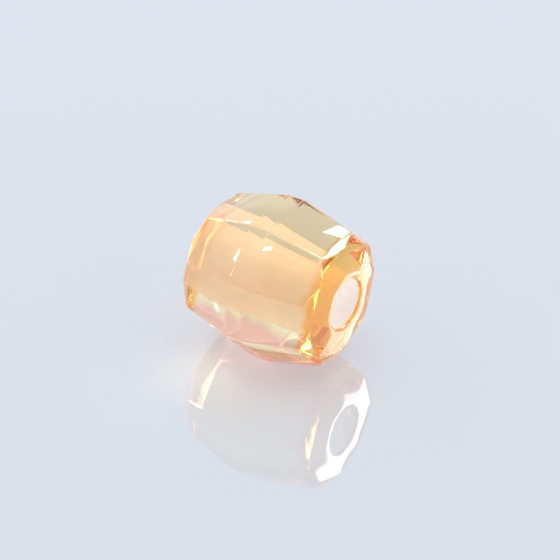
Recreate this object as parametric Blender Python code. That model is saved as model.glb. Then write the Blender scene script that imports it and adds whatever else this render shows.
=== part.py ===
# Faceted barrel bead of pressed and cut glass, lying on one flat of its belt.
# Metres, +Z up. The bore runs along X, and the origin is under the bead's middle,
# on the surface that it lies on.
import math

import bmesh
import bpy
from mathutils import Vector

MM = 0.001

# Driving dimensions
BEAD_LENGTH = 6.0 * MM        # along the bore
BEAD_HEIGHT = 6.0 * MM        # across the flats that lie up and down
BORE_DIAMETER = 2.0 * MM

# Rings of arrises, as fractions of half the length and of half the height
BELT_HALF = 0.12              # the narrow belt as pressed, parallel to the bore
ROW_END = 0.84                # where a main facet ends
ROW_END_SIZE = 0.82
SHOULDER = 0.955              # a ring set half a facet round, so the end has kites and triangles
SHOULDER_SIZE = 0.69
LAND_WIDTH = 0.22 * MM        # flat land round each mouth of the bore

# Arrises round the bore, degrees from straight down; the flats are cut by hand,
# so the two lower side ones are wider than the rest
ARRIS_TURNS = (22.5, 74.0, 115.0, 157.5, 202.5, 245.0, 286.0, 337.5)

# Softened edges
ARRIS_SOFTENING = 0.035 * MM
ARRIS_LEAST_ANGLE = 5         # degrees between the facets that an arris parts
MOUTH_FLARE = 0.07 * MM
MOUTH_FLARE_DEPTH = 0.07 * MM
BORE_SIDES = 48

HALF_LENGTH = BEAD_LENGTH / 2
HALF_HEIGHT = BEAD_HEIGHT / 2
BORE_RADIUS = BORE_DIAMETER / 2


def clear_scene():
    for thing in list(bpy.data.objects):
        bpy.data.objects.remove(thing, do_unlink=True)


def glass_material():
    material = bpy.data.materials.new("crystal")
    material.use_nodes = True
    shader = material.node_tree.nodes["Principled BSDF"]
    shader.inputs["Base Color"].default_value = (0.93, 0.62, 0.27, 1.0)
    shader.inputs["Roughness"].default_value = 0.05
    shader.inputs["Metallic"].default_value = 0.0
    shader.inputs["Transmission Weight"].default_value = 0.9
    return material


def arris_point(station, size, turn):
    # size is the distance from the bore's axis to the flat that lies underneath
    radius = size / math.cos(math.radians(ARRIS_TURNS[0]))
    angle = math.radians(turn)
    return Vector((station, -radius * math.sin(angle), HALF_HEIGHT - radius * math.cos(angle)))


def turns_between():
    # Halfway from each arris to the next one round
    following = ARRIS_TURNS[1:] + (ARRIS_TURNS[0] + 360,)
    return tuple((turn + after) / 2 for turn, after in zip(ARRIS_TURNS, following))


def add_ring(mesh, station, size, turns):
    place = station * HALF_LENGTH
    return [mesh.verts.new(arris_point(place, size * HALF_HEIGHT, turn)) for turn in turns]


def join_in_line(mesh, ring, other):
    for i in range(len(ring)):
        j = (i + 1) % len(ring)
        mesh.faces.new((ring[i], ring[j], other[j], other[i]))


def join_half_round(mesh, ring, other):
    # A triangle on each main facet's end, and one between it and the next
    for i in range(len(ring)):
        j = (i + 1) % len(ring)
        mesh.faces.new((ring[i], ring[j], other[i]))
        mesh.faces.new((ring[j], other[j], other[i]))


def cut_body():
    mesh = bmesh.new()
    # The land's flats keep their distance from the bore's own wall
    land_size = (BORE_RADIUS + LAND_WIDTH) / HALF_HEIGHT
    belts = []
    for end in (-1, 1):
        belt = add_ring(mesh, end * BELT_HALF, 1.0, ARRIS_TURNS)
        row_end = add_ring(mesh, end * ROW_END, ROW_END_SIZE, ARRIS_TURNS)
        shoulder = add_ring(mesh, end * SHOULDER, SHOULDER_SIZE, turns_between())
        land = add_ring(mesh, end, land_size, turns_between())
        join_in_line(mesh, belt, row_end)
        join_half_round(mesh, row_end, shoulder)
        join_in_line(mesh, shoulder, land)
        mesh.faces.new(land)
        belts.append(belt)
    join_in_line(mesh, *belts)
    bmesh.ops.recalc_face_normals(mesh, faces=mesh.faces)
    data = bpy.data.meshes.new("bead")
    mesh.to_mesh(data)
    mesh.free()
    bead = bpy.data.objects.new("bead", data)
    bpy.context.collection.objects.link(bead)
    return bead


def soften_arrises(bead):
    bevel = bead.modifiers.new("softened arrises", "BEVEL")
    bevel.width = ARRIS_SOFTENING
    bevel.segments = 2
    bevel.limit_method = "ANGLE"
    bevel.angle_limit = math.radians(ARRIS_LEAST_ANGLE)


def bore_cutter():
    # A straight bore whose mouths flare, running past both lands
    reach = HALF_LENGTH + MOUTH_FLARE_DEPTH
    flared = BORE_RADIUS + 2 * MOUTH_FLARE
    narrow = HALF_LENGTH - MOUTH_FLARE_DEPTH
    profile = [(-reach, flared), (-narrow, BORE_RADIUS), (narrow, BORE_RADIUS), (reach, flared)]
    mesh = bmesh.new()
    rings = []
    for station, radius in profile:
        ring = []
        for side in range(BORE_SIDES):
            angle = 2 * math.pi * side / BORE_SIDES
            place = (station, radius * math.sin(angle), HALF_HEIGHT - radius * math.cos(angle))
            ring.append(mesh.verts.new(place))
        rings.append(ring)
    for near, far in zip(rings, rings[1:]):
        for side in range(BORE_SIDES):
            after = (side + 1) % BORE_SIDES
            mesh.faces.new((near[side], near[after], far[after], far[side]))
    mesh.faces.new(rings[0])
    mesh.faces.new(rings[-1])
    bmesh.ops.recalc_face_normals(mesh, faces=mesh.faces)
    data = bpy.data.meshes.new("bore_cutter")
    mesh.to_mesh(data)
    mesh.free()
    cutter = bpy.data.objects.new("bore_cutter", data)
    bpy.context.collection.objects.link(cutter)
    cutter.hide_render = True
    cutter.display_type = "WIRE"
    return cutter


def drill(bead, cutter):
    cut = bead.modifiers.new("bore", "BOOLEAN")
    cut.operation = "DIFFERENCE"
    cut.solver = "EXACT"
    cut.object = cutter


def build():
    clear_scene()
    bead = cut_body()
    bead.data.materials.append(glass_material())
    soften_arrises(bead)
    drill(bead, bore_cutter())


build()
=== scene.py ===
# Looks of a faceted barrel bead of pale orange glass, lying on a glossy pale surface
import math
import random

import bmesh
import bpy
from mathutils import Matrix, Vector


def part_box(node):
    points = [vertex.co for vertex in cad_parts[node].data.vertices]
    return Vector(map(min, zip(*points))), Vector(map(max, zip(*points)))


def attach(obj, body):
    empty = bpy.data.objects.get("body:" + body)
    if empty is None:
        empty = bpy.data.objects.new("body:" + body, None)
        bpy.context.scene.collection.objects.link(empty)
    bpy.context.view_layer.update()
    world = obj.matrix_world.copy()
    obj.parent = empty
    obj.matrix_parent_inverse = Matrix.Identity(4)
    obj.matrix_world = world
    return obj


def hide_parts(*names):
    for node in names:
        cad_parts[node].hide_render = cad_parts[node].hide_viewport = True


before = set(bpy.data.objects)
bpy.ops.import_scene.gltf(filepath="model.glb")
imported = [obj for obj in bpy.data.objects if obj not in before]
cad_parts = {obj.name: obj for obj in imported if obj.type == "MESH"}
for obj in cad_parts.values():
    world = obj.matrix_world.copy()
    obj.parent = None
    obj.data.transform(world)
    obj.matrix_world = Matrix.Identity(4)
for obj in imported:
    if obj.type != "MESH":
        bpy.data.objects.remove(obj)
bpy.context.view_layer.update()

MM = 0.001
PHOTO_SIDE = 560

# Sizes of the bead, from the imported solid's own box
LOW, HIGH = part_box("bead")
HALF_LENGTH = (HIGH.x - LOW.x) / 2
HALF_HEIGHT = (HIGH.z - LOW.z) / 2
BORE_RADIUS = 1.0 * MM
LAND_WIDTH = 0.22 * MM

# Rings of arrises, as fractions of half the length and of half the height
BELT_HALF = 0.12
ROW_END = 0.84
ROW_END_SIZE = 0.82
SHOULDER = 0.955
SHOULDER_SIZE = 0.69

# Arrises round the bore, degrees from straight down; from the shoulder to the land
# they stand halfway between these
ARRIS_TURNS = (22.5, 74.0, 115.0, 157.5, 202.5, 245.0, 286.0, 337.5)

# Finish of the edges
ARRIS_ROUNDING = 0.07 * MM
ARRIS_STEPS = 4
FLAT_MERGE_ANGLE = 1.0
ARRIS_LEAST_ANGLE = 5.0

# The bore and its mouths, worn by the string
BORE_SIDES = 144
MOUTH_ROUNDING = 0.08 * MM
MOUTH_STEPS = 5
NICK_SEED = 7
NICK_DEPTH = 0.035 * MM

# Colour of the glass: in its depth, and as a lustre fired on its surface; near the bottom the lustre's rose also
# carries painted shade
DEPTH_COLOUR = (0.99, 0.70, 0.25, 1.0)
DEPTH_DENSITY = 100.0
BODY_TINT = (1.0, 0.85, 0.58, 1.0)
SIDE_TINT = (0.97, 0.99, 0.76, 1.0)
# Partly painted shade: the darker rose of the bottom facets is lustre and painted shade together
LOW_ROSE_AND_PAINTED_SHADE = (0.88, 0.38, 0.44, 1.0)
END_TINT = (1.0, 0.44, 0.05, 1.0)
BORE_TINT = (0.96, 0.84, 0.78, 1.0)
BORE_STREAK = (0.93, 0.79, 0.71, 1.0)
BORE_ROUGHNESS = 0.6
BORE_COVER = 0.5
# Painted light: strength of the bore wall's faint glow, standing in for the light it scatters
BORE_PAINTED_GLOW = 0.24
MOUTH_ROUGHNESS = 0.25
# Heights where the rose lustre and painted shade of the bottom facets begin and are full
LOW_LUSTRE_AND_SHADE_TOP = 1.1 * MM
LOW_LUSTRE_AND_SHADE_FULL = 0.7 * MM
LUSTRE_SIDE_TOP = 3.9 * MM
LUSTRE_SIDE_FULL = 3.0 * MM
LUSTRE_END_START = 2.35 * MM
LUSTRE_END_FULL = 2.65 * MM

# Camera, in the photograph's frame
CAMERA_AZIMUTH = 33.2
CAMERA_ELEVATION = 35.0
CAMERA_DISTANCE = 91.4 * MM
SENSOR_WIDTH = 36.0
PIXELS_PER_MM = 26.44
BEAD_MIDDLE_PIXEL = (279.0, 278.9)


def new_object(name, data):
    thing = bpy.data.objects.new(name, data)
    bpy.context.scene.collection.objects.link(thing)
    return thing


# Geometry Nodes helpers

def new_tree(name, inputs):
    tree = bpy.data.node_groups.new(name, "GeometryNodeTree")
    tree.is_modifier = True
    tree.interface.new_socket("Geometry", in_out="INPUT", socket_type="NodeSocketGeometry")
    for label, kind, value in inputs:
        socket = tree.interface.new_socket(label, in_out="INPUT", socket_type=kind)
        if value is not None:
            socket.default_value = value
    tree.interface.new_socket("Geometry", in_out="OUTPUT", socket_type="NodeSocketGeometry")
    return tree


def set_inputs(modifier, values):
    for item in modifier.node_group.interface.items_tree:
        if item.in_out == "INPUT" and item.name in values:
            modifier[item.identifier] = values[item.name]


def calculate(tree, operation, *values):
    node = tree.nodes.new("ShaderNodeMath")
    node.operation = operation
    for socket, value in zip(node.inputs, values):
        if isinstance(value, (int, float)):
            socket.default_value = value
        else:
            tree.links.new(value, socket)
    return node.outputs[0]


def pick_by_index(tree, index, values):
    node = tree.nodes.new("GeometryNodeIndexSwitch")
    node.data_type = "FLOAT"
    while len(node.index_switch_items) < len(values):
        node.index_switch_items.new()
    tree.links.new(index, node.inputs["Index"])
    for socket, value in zip(node.inputs[1:], values):
        tree.links.new(value, socket)
    return node.outputs[0]


# The cut body: eight arrises on each of eight rings, wrapped in flat facets

def cut_body_tree():
    ring_names = ["Belt Half", "Row End", "Shoulder"]
    size_names = ["Row End Size", "Shoulder Size", "Land Size"]
    turn_names = [f"Arris Turn {i + 1}" for i in range(len(ARRIS_TURNS))]
    plain = "NodeSocketFloat"
    inputs = [("Half Length", plain, None), ("Half Height", plain, None), ("Glass", "NodeSocketMaterial", None)]
    inputs += [(name, plain, None) for name in ring_names + size_names + turn_names]
    tree = new_tree("cut barrel", inputs)
    nodes, links = tree.nodes, tree.links
    given = nodes.new("NodeGroupInput").outputs
    columns = len(turn_names)
    rings = 2 * (len(ring_names) + 1)

    points = nodes.new("GeometryNodeMeshLine")
    points.inputs["Count"].default_value = columns * rings
    index = nodes.new("GeometryNodeInputIndex").outputs[0]
    column = calculate(tree, "MODULO", index, columns)
    ring = calculate(tree, "FLOOR", calculate(tree, "DIVIDE", index, columns))

    middle = (rings - 1) / 2
    side = calculate(tree, "SIGN", calculate(tree, "SUBTRACT", ring, middle))
    step = calculate(tree, "SUBTRACT", calculate(tree, "ABSOLUTE", calculate(tree, "SUBTRACT", ring, middle)), 0.5)
    end = nodes.new("ShaderNodeValue")
    end.outputs[0].default_value = 1.0
    whole = end.outputs[0]
    station = pick_by_index(tree, step, [given[name] for name in ring_names] + [whole])
    size = pick_by_index(tree, step, [whole] + [given[name] for name in size_names])
    turns = [given[name] for name in turn_names]
    own = pick_by_index(tree, column, turns)
    after = pick_by_index(tree, column, turns[1:] + [calculate(tree, "ADD", turns[0], 360.0)])
    shift = calculate(tree, "MULTIPLY", calculate(tree, "GREATER_THAN", step, 1.5), 0.5)
    gap = calculate(tree, "MULTIPLY", calculate(tree, "SUBTRACT", after, own), shift)
    turn = calculate(tree, "RADIANS", calculate(tree, "ADD", own, gap))

    # A ring's size is the distance from the bore's axis to its lowest flat
    lowest = calculate(tree, "COSINE", calculate(tree, "RADIANS", given[turn_names[0]]))
    radius = calculate(tree, "DIVIDE", calculate(tree, "MULTIPLY", size, given["Half Height"]), lowest)
    along = calculate(tree, "MULTIPLY", calculate(tree, "MULTIPLY", station, side), given["Half Length"])
    across = calculate(tree, "MULTIPLY", calculate(tree, "MULTIPLY", radius, calculate(tree, "SINE", turn)), -1.0)
    drop = calculate(tree, "MULTIPLY", radius, calculate(tree, "COSINE", turn))
    height = calculate(tree, "SUBTRACT", given["Half Height"], drop)
    place = nodes.new("ShaderNodeCombineXYZ")
    for socket, value in zip(place.inputs, (along, across, height)):
        links.new(value, socket)

    moved = nodes.new("GeometryNodeSetPosition")
    links.new(points.outputs[0], moved.inputs["Geometry"])
    links.new(place.outputs[0], moved.inputs["Position"])
    wrapped = nodes.new("GeometryNodeConvexHull")
    links.new(moved.outputs[0], wrapped.inputs[0])
    real = nodes.new("GeometryNodeRealizeInstances")
    links.new(wrapped.outputs[0], real.inputs[0])
    coloured = nodes.new("GeometryNodeSetMaterial")
    links.new(real.outputs[0], coloured.inputs["Geometry"])
    links.new(given["Glass"], coloured.inputs["Material"])
    links.new(coloured.outputs[0], nodes.new("NodeGroupOutput").inputs[0])
    return tree


def mouth_profile():
    # From the bore's middle out past the land: straight wall, then a rounded mouth
    points = [(0.0, BORE_RADIUS)]
    for i in range(MOUTH_STEPS + 1):
        angle = math.radians(90) * i / MOUTH_STEPS
        station = HALF_LENGTH - MOUTH_ROUNDING * (1 - math.sin(angle))
        points.append((station, BORE_RADIUS + MOUTH_ROUNDING * (1 - math.cos(angle))))
    points.append((HALF_LENGTH + MOUTH_ROUNDING, points[-1][1]))
    return points


def nick_depths(maker):
    # A few shallow nicks round a mouth, each a few sides wide
    depths = [0.0] * BORE_SIDES
    for _ in range(9):
        middle = maker.randrange(BORE_SIDES)
        width = maker.randint(2, 5)
        deep = NICK_DEPTH * maker.uniform(0.3, 1.0)
        for offset in range(-width, width + 1):
            fall = math.cos(math.pi / 2 * offset / (width + 1))
            spot = (middle + offset) % BORE_SIDES
            depths[spot] = max(depths[spot], deep * fall)
    return depths


def bore_cutter():
    maker = random.Random(NICK_SEED)
    half = mouth_profile()
    stations = [(-station, radius, -1) for station, radius in reversed(half[1:])]
    stations += [(station, radius, 1) for station, radius in half]
    nicks = {-1: nick_depths(maker), 1: nick_depths(maker)}
    mesh = bmesh.new()
    rings = []
    for station, radius, end in stations:
        worn = 1.0 if radius > BORE_RADIUS * 1.001 else 0.0
        ring = []
        for side in range(BORE_SIDES):
            angle = 2 * math.pi * side / BORE_SIDES
            reach = radius + worn * nicks[end][side]
            ring.append(mesh.verts.new((station, reach * math.sin(angle), HALF_HEIGHT - reach * math.cos(angle))))
        rings.append(ring)
    for near, far in zip(rings, rings[1:]):
        for side in range(BORE_SIDES):
            after = (side + 1) % BORE_SIDES
            mesh.faces.new((near[side], near[after], far[after], far[side]))
    mesh.faces.new(rings[0])
    mesh.faces.new(rings[-1])
    bmesh.ops.recalc_face_normals(mesh, faces=mesh.faces)
    data = bpy.data.meshes.new("bore_cutter")
    mesh.to_mesh(data)
    mesh.free()
    cutter = new_object("bore_cutter", data)
    cutter.hide_render = True
    return cutter


def plain_mesh(thing, name):
    # The evaluated shape as a plain mesh on a new object, with the maker's object removed
    graph = bpy.context.evaluated_depsgraph_get()
    data = bpy.data.meshes.new_from_object(thing.evaluated_get(graph), depsgraph=graph)
    data.name = name
    bpy.data.objects.remove(thing)
    return new_object(name, data)


def is_bore_wall(face):
    # The flat land round a mouth also has its middle on the axis, but it faces along the bore
    reach = math.hypot(face.center.y, face.center.z - HALF_HEIGHT)
    return reach < BORE_RADIUS * 1.005 and abs(face.normal.x) < 0.1


def make_bead(glass, bore_wall):
    blank = new_object("bead_blank", bpy.data.meshes.new("bead_blank"))
    shape = blank.modifiers.new("cut barrel", "NODES")
    shape.node_group = cut_body_tree()
    sizes = {
        "Half Length": HALF_LENGTH,
        "Half Height": HALF_HEIGHT,
        "Glass": glass,
        "Belt Half": BELT_HALF,
        "Row End": ROW_END,
        "Row End Size": ROW_END_SIZE,
        "Shoulder": SHOULDER,
        "Shoulder Size": SHOULDER_SIZE,
        "Land Size": (BORE_RADIUS + LAND_WIDTH) / HALF_HEIGHT,
    }
    for number, turn in enumerate(ARRIS_TURNS, 1):
        sizes[f"Arris Turn {number}"] = turn
    set_inputs(shape, sizes)

    flats = blank.modifiers.new("whole flats", "DECIMATE")
    flats.decimate_type = "DISSOLVE"
    flats.angle_limit = math.radians(FLAT_MERGE_ANGLE)
    soften = blank.modifiers.new("rounded arrises", "BEVEL")
    soften.width = ARRIS_ROUNDING
    soften.segments = ARRIS_STEPS
    soften.limit_method = "ANGLE"
    soften.angle_limit = math.radians(ARRIS_LEAST_ANGLE)
    soften.harden_normals = True
    cutter = bore_cutter()
    bore = blank.modifiers.new("bore", "BOOLEAN")
    bore.operation = "DIFFERENCE"
    bore.solver = "EXACT"
    bore.object = cutter

    bead = plain_mesh(blank, "bead_glass")
    bpy.data.objects.remove(cutter)
    bead.data.materials.clear()
    bead.data.materials.append(glass)
    bead.data.materials.append(bore_wall)
    for face in bead.data.polygons:
        face.material_index = 1 if is_bore_wall(face) else 0
    bead.data.shade_smooth()
    bead.data.set_sharp_from_angle(angle=math.radians(30))
    return bead


# Materials

def remap(tree, value, low, high, to_low=0.0, to_high=1.0):
    node = tree.nodes.new("ShaderNodeMapRange")
    node.interpolation_type = "SMOOTHSTEP"
    node.inputs["From Min"].default_value = low
    node.inputs["From Max"].default_value = high
    node.inputs["To Min"].default_value = to_low
    node.inputs["To Max"].default_value = to_high
    tree.links.new(value, node.inputs["Value"])
    return node.outputs["Result"]


def blend_colours(tree, factor, first, second):
    node = tree.nodes.new("ShaderNodeMix")
    node.data_type = "RGBA"
    sockets = {socket.identifier: socket for socket in node.inputs}
    tree.links.new(factor, sockets["Factor_Float"])
    for name, colour in (("A_Color", first), ("B_Color", second)):
        if isinstance(colour, tuple):
            sockets[name].default_value = colour
        else:
            tree.links.new(colour, sockets[name])
    return node.outputs[2]


def lustre_and_shade_group():
    # The fired-on lustre: its tint turns with the height of the flat, and pools at both ends. Its darker rose on
    # the lowest flats is partly painted shade.
    group = bpy.data.node_groups.new("fired lustre and painted shade", "ShaderNodeTree")
    for name, kind, value in (
        ("Body", "NodeSocketColor", (1.0, 1.0, 1.0, 1.0)),
        ("Low", "NodeSocketColor", (1.0, 0.8, 0.8, 1.0)),
        ("Side", "NodeSocketColor", (1.0, 1.0, 0.8, 1.0)),
        ("Ends", "NodeSocketColor", (1.0, 0.7, 0.4, 1.0)),
    ):
        group.interface.new_socket(name, in_out="INPUT", socket_type=kind).default_value = value
    group.interface.new_socket("Colour", in_out="OUTPUT", socket_type="NodeSocketColor")
    given = group.nodes.new("NodeGroupInput").outputs
    place = group.nodes.new("ShaderNodeTexCoord").outputs["Object"]
    parts = group.nodes.new("ShaderNodeSeparateXYZ")
    group.links.new(place, parts.inputs[0])
    drift = group.nodes.new("ShaderNodeTexNoise")
    drift.inputs["Scale"].default_value = 500.0
    drift.inputs["Detail"].default_value = 2.0
    group.links.new(place, drift.inputs["Vector"])
    wander = remap(group, drift.outputs["Fac"], 0.3, 0.7, -0.15 * MM, 0.15 * MM)
    height = calculate(group, "ADD", parts.outputs["Z"], wander)
    along = calculate(group, "ADD", calculate(group, "ABSOLUTE", parts.outputs["X"]), wander)

    # Painted shade, partly: the lowest flats are darkened to rose
    low_lustre_and_shade = remap(group, height, LOW_LUSTRE_AND_SHADE_TOP, LOW_LUSTRE_AND_SHADE_FULL)
    is_side = remap(group, height, LUSTRE_SIDE_TOP, LUSTRE_SIDE_FULL)
    is_end = remap(group, along, LUSTRE_END_START, LUSTRE_END_FULL)
    colour = blend_colours(group, is_side, given["Body"], given["Side"])
    colour = blend_colours(group, low_lustre_and_shade, colour, given["Low"])
    colour = blend_colours(group, is_end, colour, given["Ends"])
    group.links.new(colour, group.nodes.new("NodeGroupOutput").inputs[0])
    return group


def glass_material():
    material = bpy.data.materials.new("pale orange glass")
    material.use_nodes = True
    tree = material.node_tree
    nodes, links = tree.nodes, tree.links
    shader = nodes["Principled BSDF"]
    shader.inputs["Metallic"].default_value = 0.0
    shader.inputs["Transmission Weight"].default_value = 1.0
    shader.inputs["IOR"].default_value = 1.54

    lustre_and_shade_node = nodes.new("ShaderNodeGroup")
    lustre_and_shade_node.node_tree = lustre_and_shade_group()
    lustre_and_shade_node.inputs["Body"].default_value = BODY_TINT
    lustre_and_shade_node.inputs["Low"].default_value = LOW_ROSE_AND_PAINTED_SHADE
    lustre_and_shade_node.inputs["Side"].default_value = SIDE_TINT
    lustre_and_shade_node.inputs["Ends"].default_value = END_TINT

    parts = nodes.new("ShaderNodeSeparateXYZ")
    links.new(nodes.new("ShaderNodeTexCoord").outputs["Object"], parts.inputs[0])
    up = calculate(tree, "SUBTRACT", parts.outputs["Z"], HALF_HEIGHT)
    flat = calculate(tree, "POWER", parts.outputs["Y"], 2.0)
    tall = calculate(tree, "POWER", up, 2.0)
    reach = calculate(tree, "SQRT", calculate(tree, "ADD", flat, tall))
    in_mouth = remap(tree, reach, BORE_RADIUS + 0.12 * MM, BORE_RADIUS + 0.03 * MM)
    links.new(lustre_and_shade_node.outputs["Colour"], shader.inputs["Base Color"])
    links.new(remap(tree, in_mouth, 0.0, 1.0, 0.0, MOUTH_ROUGHNESS), shader.inputs["Roughness"])

    body = nodes.new("ShaderNodeVolumeAbsorption")
    body.inputs["Color"].default_value = DEPTH_COLOUR
    body.inputs["Density"].default_value = DEPTH_DENSITY
    links.new(body.outputs[0], nodes["Material Output"].inputs["Volume"])
    return material


def bore_material():
    # The wall that the mandrel left: matt and milky, a little streaked along its length. It also glows faintly, a
    # painted light standing in for the light it scatters.
    material = bpy.data.materials.new("matt bore wall")
    material.use_nodes = True
    tree = material.node_tree
    nodes, links = tree.nodes, tree.links
    shader = nodes["Principled BSDF"]
    shader.inputs["Roughness"].default_value = BORE_ROUGHNESS
    shader.inputs["Alpha"].default_value = BORE_COVER
    # Painted light: the wall glows faintly in its own tint
    shader.inputs["Emission Color"].default_value = BORE_TINT
    shader.inputs["Emission Strength"].default_value = BORE_PAINTED_GLOW
    stretch = nodes.new("ShaderNodeMapping")
    stretch.inputs["Scale"].default_value = (0.15, 1.0, 1.0)
    links.new(nodes.new("ShaderNodeTexCoord").outputs["Object"], stretch.inputs["Vector"])
    streaks = nodes.new("ShaderNodeTexNoise")
    streaks.inputs["Scale"].default_value = 4000.0
    links.new(stretch.outputs[0], streaks.inputs["Vector"])
    amount = remap(tree, streaks.outputs["Fac"], 0.3, 0.7)
    links.new(blend_colours(tree, amount, BORE_TINT, BORE_STREAK), shader.inputs["Base Color"])
    return material


def floor_material():
    material = bpy.data.materials.new("glossy pale floor")
    material.use_nodes = True
    shader = material.node_tree.nodes["Principled BSDF"]
    shader.inputs["Base Color"].default_value = (0.34, 0.35, 0.365, 1.0)
    shader.inputs["Roughness"].default_value = 0.03
    shader.inputs["IOR"].default_value = 2.0
    shader.inputs["Emission Color"].default_value = (0.62, 0.65, 0.70, 1.0)
    shader.inputs["Emission Strength"].default_value = 0.50
    return material


# The studio

TENT_COLOUR = (0.78, 0.84, 0.93, 1.0)
SKY_STRENGTH = 1.2
OPENING_COLOUR = (0.10, 0.08, 0.07, 1.0)
OPENING_AZIMUTH = 33.0
OPENING_ELEVATION = 40.0
OPENING_OUTER = 32.0
OPENING_INNER = 22.0
FLOOR_RADIUS = 0.25
FLOOR_RIM = 0.06
FLOOR_SIDES = 96


def make_floor():
    # A flat disc whose edge rises in a soft sweep
    mesh = bmesh.new()
    profile = [(0.02 * i, 0.0) for i in range(1, 10)]
    start = profile[-1][0]
    for i in range(1, 9):
        angle = math.radians(90) * i / 8 * 0.6
        profile.append((start + (FLOOR_RADIUS - start) * math.sin(angle), FLOOR_RIM * (1 - math.cos(angle))))
    rings = []
    for radius, height in profile:
        ring = []
        for side in range(FLOOR_SIDES):
            angle = 2 * math.pi * side / FLOOR_SIDES
            ring.append(mesh.verts.new((radius * math.cos(angle), radius * math.sin(angle), height)))
        rings.append(ring)
    mesh.faces.new(rings[0])
    for near, far in zip(rings, rings[1:]):
        for side in range(FLOOR_SIDES):
            after = (side + 1) % FLOOR_SIDES
            mesh.faces.new((near[side], far[side], far[after], near[after]))
    data = bpy.data.meshes.new("floor")
    mesh.to_mesh(data)
    mesh.free()
    data.shade_smooth()
    data.materials.append(floor_material())
    floor = new_object("floor", data)


def direction(azimuth, elevation):
    # Towards a place round the bead, azimuth 0 being the near side on -Y
    a = math.radians(azimuth)
    e = math.radians(elevation)
    return Vector((math.sin(a) * math.cos(e), -math.cos(a) * math.cos(e), math.sin(e)))


def add_panel(name, azimuth, elevation, distance, width, height, power, colour=(1.0, 1.0, 1.0)):
    light = bpy.data.lights.new(name, "AREA")
    light.shape = "RECTANGLE"
    light.size = width
    light.size_y = height
    light.energy = power
    light.color = colour
    lamp = new_object(name, light)
    towards = direction(azimuth, elevation)
    middle = Vector((0.0, 0.0, HALF_HEIGHT))
    lamp.location = middle + towards * distance
    lamp.rotation_mode = "QUATERNION"
    lamp.rotation_quaternion = towards.to_track_quat("Z", "Y")
    return lamp


def make_world():
    world = bpy.data.worlds.new("pale studio")
    bpy.context.scene.world = world
    world.use_nodes = True
    nodes, links = world.node_tree.nodes, world.node_tree.links
    nodes["Background"].inputs["Strength"].default_value = SKY_STRENGTH

    # The pale tent has one dim opening, on the photographer's side
    towards = nodes.new("ShaderNodeTexCoord").outputs["Generated"]
    facing = nodes.new("ShaderNodeVectorMath")
    facing.operation = "DOT_PRODUCT"
    facing.inputs[1].default_value = direction(OPENING_AZIMUTH, OPENING_ELEVATION)
    links.new(towards, facing.inputs[0])
    opening = nodes.new("ShaderNodeMapRange")
    opening.interpolation_type = "SMOOTHSTEP"
    opening.inputs["From Min"].default_value = math.cos(math.radians(OPENING_OUTER))
    opening.inputs["From Max"].default_value = math.cos(math.radians(OPENING_INNER))
    links.new(facing.outputs["Value"], opening.inputs["Value"])
    tent = nodes.new("ShaderNodeMix")
    tent.data_type = "RGBA"
    tent.inputs["A"].default_value = TENT_COLOUR
    tent.inputs["B"].default_value = OPENING_COLOUR
    links.new(opening.outputs["Result"], tent.inputs["Factor"])
    links.new(tent.outputs["Result"], nodes["Background"].inputs["Color"])


# Small panels round the tent: azimuth, elevation, width and height in metres, watts
STRIPS = (
    (300.0, 30.0, 0.015, 0.020, 0.02),
    (350.0, 62.0, 0.050, 0.008, 0.02),
    (95.0, 28.0, 0.020, 0.080, 0.12),
    (235.0, 20.0, 0.030, 0.050, 0.12),
)


def make_lights():
    make_world()
    add_panel("overhead", 0.0, 88.0, 0.30, 0.20, 0.20, 0.10)
    key = add_panel("key", 180.0 + 33.2 - 58.0, 40.0, 0.25, 0.11, 0.11, 0.75)
    key.visible_diffuse = False
    for number, (azimuth, elevation, width, height, power) in enumerate(STRIPS, 1):
        strip = add_panel(f"strip_{number}", azimuth, elevation, 0.25, width, height, power)
        strip.visible_diffuse = False


def make_camera():
    data = bpy.data.cameras.new("camera")
    data.sensor_width = SENSOR_WIDTH
    data.lens = PIXELS_PER_MM * (CAMERA_DISTANCE / MM) / PHOTO_SIDE * SENSOR_WIDTH
    data.clip_start = 1.0 * MM
    data.clip_end = 2.0
    camera = new_object("camera", data)
    back = direction(CAMERA_AZIMUTH, CAMERA_ELEVATION)
    right = Vector((0, 0, 1)).cross(back).normalized()
    above = back.cross(right)
    # The bead's middle lies a little off the picture's middle
    aside = (PHOTO_SIDE / 2 - BEAD_MIDDLE_PIXEL[0]) / PIXELS_PER_MM * MM
    below = (BEAD_MIDDLE_PIXEL[1] - PHOTO_SIDE / 2) / PIXELS_PER_MM * MM
    aim = Vector((0.0, 0.0, HALF_HEIGHT)) + right * aside + above * below
    camera.location = aim + back * CAMERA_DISTANCE
    camera.rotation_mode = "QUATERNION"
    camera.rotation_quaternion = back.to_track_quat("Z", "Y")
    bpy.context.scene.camera = camera


scene = bpy.context.scene
scene.view_settings.view_transform = "Standard"
scene.cycles.max_bounces = 32
scene.cycles.transmission_bounces = 32
scene.cycles.glossy_bounces = 16

bead = make_bead(glass_material(), bore_material())
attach(bead, "root")
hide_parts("bead")
make_floor()
make_lights()
make_camera()
